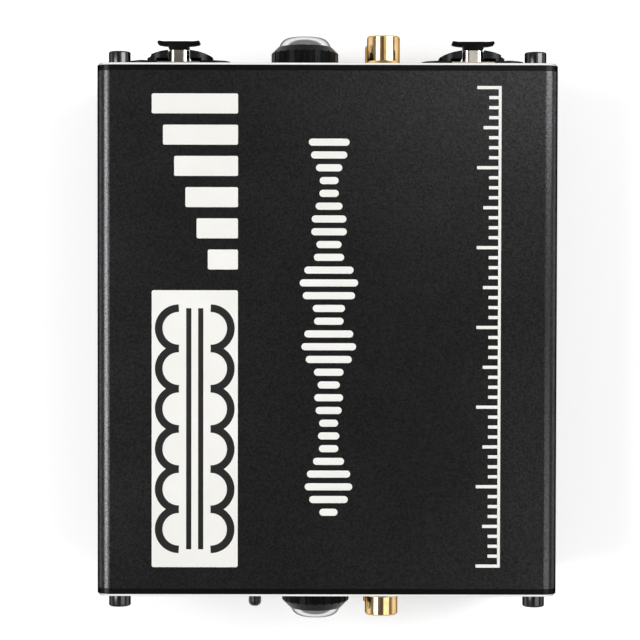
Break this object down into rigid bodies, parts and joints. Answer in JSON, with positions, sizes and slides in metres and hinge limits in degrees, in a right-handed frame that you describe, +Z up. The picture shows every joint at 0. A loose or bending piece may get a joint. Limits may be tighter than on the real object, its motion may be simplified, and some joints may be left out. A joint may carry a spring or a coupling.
{
  "type": "ground loop isolator",
  "caption": "Flat black extruded case that passes two audio channels through transformers, with XLR, jack and phono sockets on both ends and a ground lift button",
  "frame": {"origin": "under the middle of the case, on the plane that the feet stand on", "axes": "+Y towards the input end, +Z up, +X to the right with the input end away from the viewer"},
  "size_m": [0.116, 0.1489, 0.0438],
  "materials": {
    "sleeve_paint": "fine-grained matte black coat on extruded aluminium",
    "plate_paint": "smooth matte black coat, bare metal at the cut edges",
    "foot_rubber": "matte black rubber",
    "black_steel": "blackened steel",
    "xlr_casting": "black coated casting",
    "black_insulator": "black moulding",
    "nickel": "bright nickel plate",
    "thumb_plastic": "black moulding",
    "contact_metal": "tinned and silvered contacts",
    "lamination": "stacked sheet steel",
    "coil_tape": "yellow polyester tape",
    "spring_steel": "spring wire and strip",
    "moulded_black": "black moulding",
    "thread_brass": "nickel-plated brass",
    "nut_plastic": "black moulding, slightly glossy",
    "chrome": "bright chrome",
    "gilt": "bright gilt plate",
    "white_insulator": "white moulding",
    "red_insulator": "red moulding",
    "circuit_board": "glass epoxy with green resist",
    "button_plastic": "black moulding",
    "wire_insulation": "soft insulation"
  },
  "bodies": {
    "case": {"enclosure_sleeve": "sleeve_paint", "rubber_feet": "foot_rubber", "input_end_plate": "plate_paint", "output_end_plate": "plate_paint", "input_plate_screws": "black_steel", "output_plate_screws": "black_steel", "input_xlr_screws": "black_steel", "output_xlr_screws": "black_steel", "phono_block_screws": "black_steel", "left_input_xlr_shell": "xlr_casting", "left_output_xlr_shell": "xlr_casting", "left_input_xlr_insert": "black_insulator", "left_output_xlr_insert": "black_insulator", "left_output_xlr_pins": "contact_metal", "left_transformer_core": "lamination", "left_transformer_coil": "coil_tape", "right_input_xlr_shell": "xlr_casting", "right_output_xlr_shell": "xlr_casting", "right_input_xlr_insert": "black_insulator", "right_output_xlr_insert": "black_insulator", "right_output_xlr_pins": "contact_metal", "right_transformer_core": "lamination", "right_transformer_coil": "coil_tape", "input_xlr_latch_springs": "spring_steel", "ground_switch_spring": "spring_steel", "input_xlr_contacts": "contact_metal", "input_upper_jack_body": "moulded_black", "input_lower_jack_body": "moulded_black", "input_phono_housing": "moulded_black", "input_jack_bushings": "thread_brass", "input_jack_nuts": "nut_plastic", "input_jack_rings": "chrome", "input_jack_contacts": "contact_metal", "input_phono_contacts": "contact_metal", "input_phono_barrels": "gilt", "input_connector_board": "circuit_board", "output_upper_jack_body": "moulded_black", "output_lower_jack_body": "moulded_black", "output_phono_housing": "moulded_black", "output_jack_bushings": "thread_brass", "output_jack_nuts": "nut_plastic", "output_jack_rings": "chrome", "output_jack_contacts": "contact_metal", "output_phono_contacts": "contact_metal", "output_phono_barrels": "gilt", "output_connector_board": "circuit_board", "phono_white_insulators": "white_insulator", "phono_red_insulators": "red_insulator", "ground_switch_body": "moulded_black", "board_pin_headers": "moulded_black", "main_board": "circuit_board", "hookup_wires": "wire_insulation"},
    "left_latch": {"left_latch_lever": "nickel", "left_latch_thumb_bar": "thumb_plastic"},
    "right_latch": {"right_latch_lever": "nickel", "right_latch_thumb_bar": "thumb_plastic"},
    "ground_button": {"ground_switch_button": "button_plastic"}
  },
  "joints": [
    {"name": "left_latch_release", "type": "hinge", "parent": "case", "child": "left_latch", "pos_m": [-0.0378, 0.0642, 0.0333], "axis": [-1, 0, 0], "range_deg": [0, 7], "stiffness_Nm_per_rad": 0.06, "springref_deg": -14.9},
    {"name": "right_latch_release", "type": "hinge", "parent": "case", "child": "right_latch", "pos_m": [0.037, 0.0642, 0.0333], "axis": [-1, 0, 0], "range_deg": [0, 7], "stiffness_Nm_per_rad": 0.06, "springref_deg": -14.9},
    {"name": "ground_button_push", "type": "slide", "parent": "case", "child": "ground_button", "axis": [0, 1, 0], "range_m": [0, 0.002], "stiffness_N_per_m": 400, "springref_m": -0.003}
  ]
}
